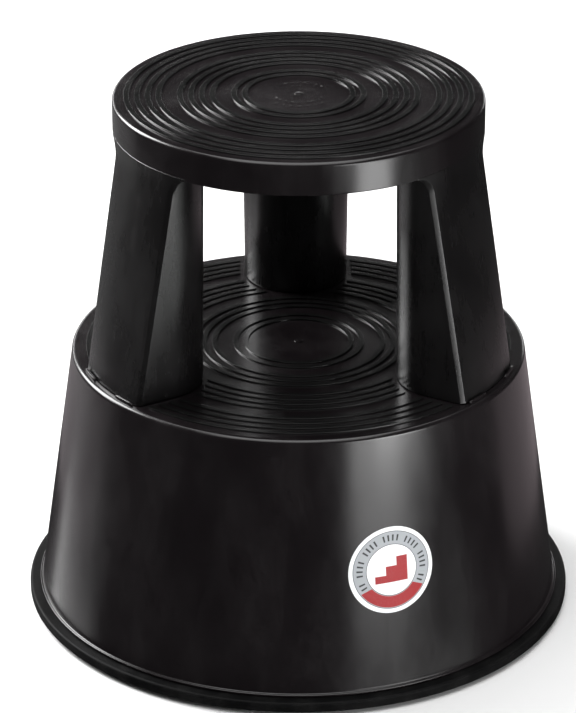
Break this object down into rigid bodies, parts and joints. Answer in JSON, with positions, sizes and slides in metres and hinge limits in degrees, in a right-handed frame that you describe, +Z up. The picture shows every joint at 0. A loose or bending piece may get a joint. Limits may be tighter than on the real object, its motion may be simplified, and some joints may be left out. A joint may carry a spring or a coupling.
{
  "type": "rolling step stool",
  "caption": "Round two-step rolling stool: drum base, upper step on hollow legs, rubber floor ring and sprung castors that let it grip when stood on.",
  "frame": {"origin": "on the floor, under the centre of the round steps, with the castors out", "axes": "+Z up, rear leg towards +Y, label on the front towards -Y"},
  "size_m": [0.44, 0.44, 0.43],
  "materials": {
    "shell": "satin",
    "floor_rubber": "matte",
    "label": "satin",
    "zinc_steel": "satin",
    "spring_steel": "satin",
    "acetal": "satin",
    "fork_nylon": "satin",
    "hub_plastic": "matte",
    "tyre_rubber": "matte"
  },
  "bodies": {
    "stool": {"upper_step": "shell", "lower_drum": "shell", "floor_ring": "floor_rubber", "label": "label", "leg_screw_rear_1": "zinc_steel", "leg_screw_rear_2": "zinc_steel", "leg_screw_left_1": "zinc_steel", "leg_screw_left_2": "zinc_steel", "leg_screw_right_1": "zinc_steel", "leg_screw_right_2": "zinc_steel", "castor_housing_front": "shell", "housing_screw_1_front": "zinc_steel", "housing_screw_2_front": "zinc_steel", "castor_bush_front": "acetal", "castor_spring_front": "spring_steel", "castor_housing_right": "shell", "housing_screw_1_right": "zinc_steel", "housing_screw_2_right": "zinc_steel", "castor_bush_right": "acetal", "castor_spring_right": "spring_steel", "castor_housing_left": "shell", "housing_screw_1_left": "zinc_steel", "housing_screw_2_left": "zinc_steel", "castor_bush_left": "acetal", "castor_spring_left": "spring_steel"},
    "stem_front": {"castor_stem_front": "zinc_steel", "castor_clip_front": "spring_steel", "spring_seat_front": "zinc_steel"},
    "fork_front": {"castor_fork_front": "fork_nylon", "castor_axle_front": "zinc_steel", "swivel_race_front": "zinc_steel"},
    "wheel_front": {"wheel_hub_front": "hub_plastic", "wheel_tyre_front": "tyre_rubber"},
    "stem_right": {"castor_stem_right": "zinc_steel", "castor_clip_right": "spring_steel", "spring_seat_right": "zinc_steel"},
    "fork_right": {"castor_fork_right": "fork_nylon", "castor_axle_right": "zinc_steel", "swivel_race_right": "zinc_steel"},
    "wheel_right": {"wheel_hub_right": "hub_plastic", "wheel_tyre_right": "tyre_rubber"},
    "stem_left": {"castor_stem_left": "zinc_steel", "castor_clip_left": "spring_steel", "spring_seat_left": "zinc_steel"},
    "fork_left": {"castor_fork_left": "fork_nylon", "castor_axle_left": "zinc_steel", "swivel_race_left": "zinc_steel"},
    "wheel_left": {"wheel_hub_left": "hub_plastic", "wheel_tyre_left": "tyre_rubber"}
  },
  "joints": [
    {"name": "castor_slide_front", "type": "slide", "parent": "stool", "child": "stem_front", "axis": [0, 0, 1], "range_m": [0, 0.006], "stiffness_N_per_m": 2500, "springref_m": -0.01, "deforming": ["castor_spring_front"]},
    {"name": "castor_swivel_front", "type": "hinge", "parent": "stem_front", "child": "fork_front", "pos_m": [0, -0.15, 0.045], "axis": [0, 0, 1], "continuous": true},
    {"name": "wheel_spin_front", "type": "hinge", "parent": "fork_front", "child": "wheel_front", "pos_m": [0, -0.135, 0.018], "axis": [1, 0, 0], "continuous": true},
    {"name": "castor_slide_right", "type": "slide", "parent": "stool", "child": "stem_right", "axis": [0, 0, 1], "range_m": [0, 0.006], "stiffness_N_per_m": 2500, "springref_m": -0.01, "deforming": ["castor_spring_right"]},
    {"name": "castor_swivel_right", "type": "hinge", "parent": "stem_right", "child": "fork_right", "pos_m": [0.1299, 0.075, 0.045], "axis": [0, 0, 1], "continuous": true},
    {"name": "wheel_spin_right", "type": "hinge", "parent": "fork_right", "child": "wheel_right", "pos_m": [0.1299, 0.09, 0.018], "axis": [1, 0, 0], "continuous": true},
    {"name": "castor_slide_left", "type": "slide", "parent": "stool", "child": "stem_left", "axis": [0, 0, 1], "range_m": [0, 0.006], "stiffness_N_per_m": 2500, "springref_m": -0.01, "deforming": ["castor_spring_left"]},
    {"name": "castor_swivel_left", "type": "hinge", "parent": "stem_left", "child": "fork_left", "pos_m": [-0.1299, 0.075, 0.045], "axis": [0, 0, 1], "continuous": true},
    {"name": "wheel_spin_left", "type": "hinge", "parent": "fork_left", "child": "wheel_left", "pos_m": [-0.1299, 0.09, 0.018], "axis": [1, 0, 0], "continuous": true}
  ]
}
